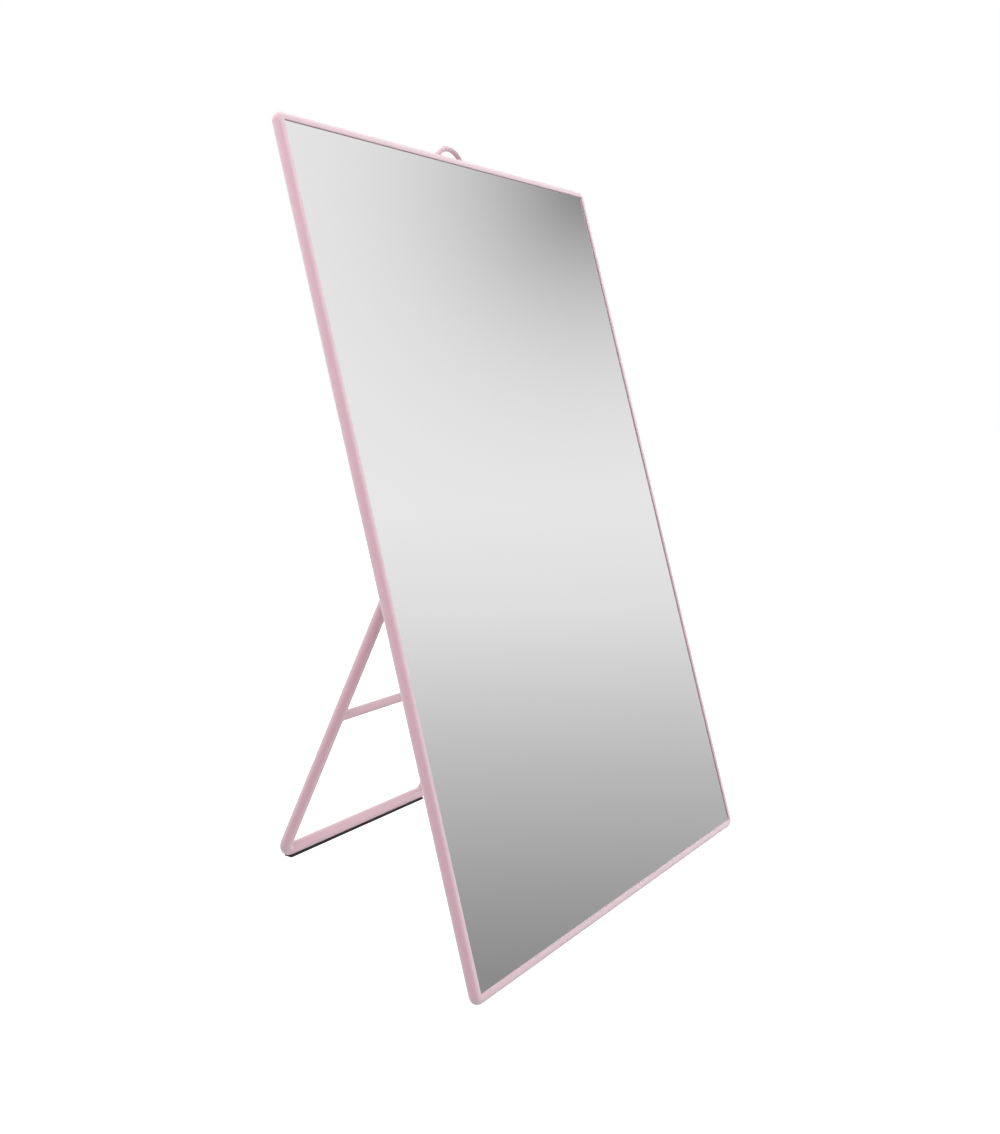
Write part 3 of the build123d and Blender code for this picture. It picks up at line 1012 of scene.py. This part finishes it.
climb = (towards(ROOM_LEAN) - ROOM_LOW) * (1 / (ROOM_HIGH - ROOM_LOW))
grey = room.node("ShaderNodeValToRGB", {"stops": ROOM_GREYS}, {0: climb})
patch = patch_over(PATCH_AZIMUTH, PATCH_HEIGHT, PATCH_SPREAD, PATCH_POWER)
wall = room.blend(patch * PATCH_DEPTH, grey, BLACK)
bounce = room.blend(towards((0, 0, 2)) + 0.5, BOUNCE_LOW, BOUNCE_HIGH)
seen_by_camera = room.node("ShaderNodeLightPath", {}, {}, "Is Camera Ray")
seen_by_paint = room.node("ShaderNodeLightPath", {}, {}, "Is Diffuse Ray")
backdrop = room.blend(seen_by_camera, room.blend(seen_by_paint, wall, bounce), WHITE)
background = room.node("ShaderNodeBackground", {}, {"Color": backdrop, "Strength": 1.0})
room.node("ShaderNodeOutputWorld", {}, {"Surface": background})
scene.view_settings.view_transform = "Standard"
print("world:", len(room.tree.nodes), "nodes, and", len(ROOM_GREYS), "greys from the floor up")

# %% Floor
FLOOR_HALF = 6.0
FLOOR_GLOW = {"Emission_Color": WHITE, "Emission_Strength": 0.96}


def floor_sockets(graph):
    """A pale, dull surface with a faint mottle."""
    mottle = graph.noise(graph.place(), 3.0)
    return {
        "Base Color": graph.blend(mottle, rgb(0.52, 0.52, 0.52), rgb(0.49, 0.49, 0.49)),
        "Roughness": 0.85 + 0.1 * mottle,
    }


floor_mesh = bpy.data.meshes.new("floor")
floor_corners = np.array([[-1, -1, 0], [1, -1, 0], [1, 1, 0], [-1, 1, 0]]) * FLOOR_HALF
floor_mesh.from_pydata(floor_corners.tolist(), [], [[0, 1, 2, 3]])
floor_mesh.materials.append(finish_of("floor", floor_sockets, Specular_IOR_Level=0.2, **FLOOR_GLOW))
floor = bpy.data.objects.new("floor", floor_mesh)
for ray in ("diffuse", "glossy", "transmission", "shadow"):
    setattr(floor, "visible_" + ray, False)
scene.collection.objects.link(floor)
floor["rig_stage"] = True
print("floor:", 2 * FLOOR_HALF, "m square, seen by the camera alone")

# %% [markdown]
# ## Light and camera
# Eight soft lamps stand round the object. The one above is the strongest of those that reach the
# front, so edges that face up are the palest, and the rim's left side falls into a deeper pink
# towards the table. One lies below the floor, in place of the light that a white table throws up
# at the undersides, and the back has one of its own. All are hidden from the mirror. The camera
# looks from the left, a little above the middle of the glass.

# %% Lamps
def soft_lamp(name, place, size, power):
    """A square area lamp, in metres and watts, that looks at the middle of the object."""
    lamp = bpy.data.lights.new(name, "AREA")
    lamp.size, lamp.energy = size, power
    holder = bpy.data.objects.new(name, lamp)
    holder.location = place
    aim = (cad_low + cad_high) / 2 - holder.location
    holder.rotation_euler = aim.to_track_quat("-Z", "Y").to_euler()
    holder.visible_glossy = False
    holder.visible_transmission = False
    scene.collection.objects.link(holder)


# name: (place, side, power)
LAMPS = {
    "key": ((0.7, -0.9, 1.1), 0.7, 1.3),
    "top": ((0.0, -0.1, 1.1), 0.6, 5.0),
    "left high": ((-0.6, -0.2, 0.8), 0.6, 2.8),
    "left low": ((-0.9, -0.45, 0.3), 0.6, 3.3),
    "right": ((1.0, -0.3, 0.4), 0.6, 3.7),
    "behind": ((-0.7, 0.6, 0.5), 0.6, 3.5),
    "below": ((0.2, -0.5, -0.4), 0.6, 2.8),
    "back": ((0.6, 1.1, 0.5), 0.7, 7.0),
}
for name, lamp_values in LAMPS.items():
    soft_lamp(name, *lamp_values)
print(len(LAMPS), "lamps,", round(sum(power for _, _, power in LAMPS.values()), 1), "watts")

# %% Camera
CAMERA_PLACE = (-0.38758, -0.27600, 0.1945)
CAMERA_YAW, CAMERA_PITCH = radians(54.06), radians(-6.52)
LENS, SENSOR = 37.27, 36.0
SHIFT = (0.0265, -0.0333)

camera_data = bpy.data.cameras.new("camera")
camera_data.lens, camera_data.sensor_width = LENS, SENSOR
camera_data.shift_x, camera_data.shift_y = SHIFT
camera_data.clip_start, camera_data.clip_end = 0.01, 50.0
camera = bpy.data.objects.new("camera", camera_data)
camera.location = CAMERA_PLACE
level = cos(CAMERA_PITCH)
look = Vector((sin(CAMERA_YAW) * level, cos(CAMERA_YAW) * level, sin(CAMERA_PITCH)))
camera.rotation_euler = look.to_track_quat("-Z", "Y").to_euler()
scene.collection.objects.link(camera)
scene.camera = camera
print("camera at", CAMERA_PLACE, "with a", LENS, "mm lens")

# %% Size of what is drawn
low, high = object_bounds()
print("visual box", [round(v, 4) for v in (*low, *high)])
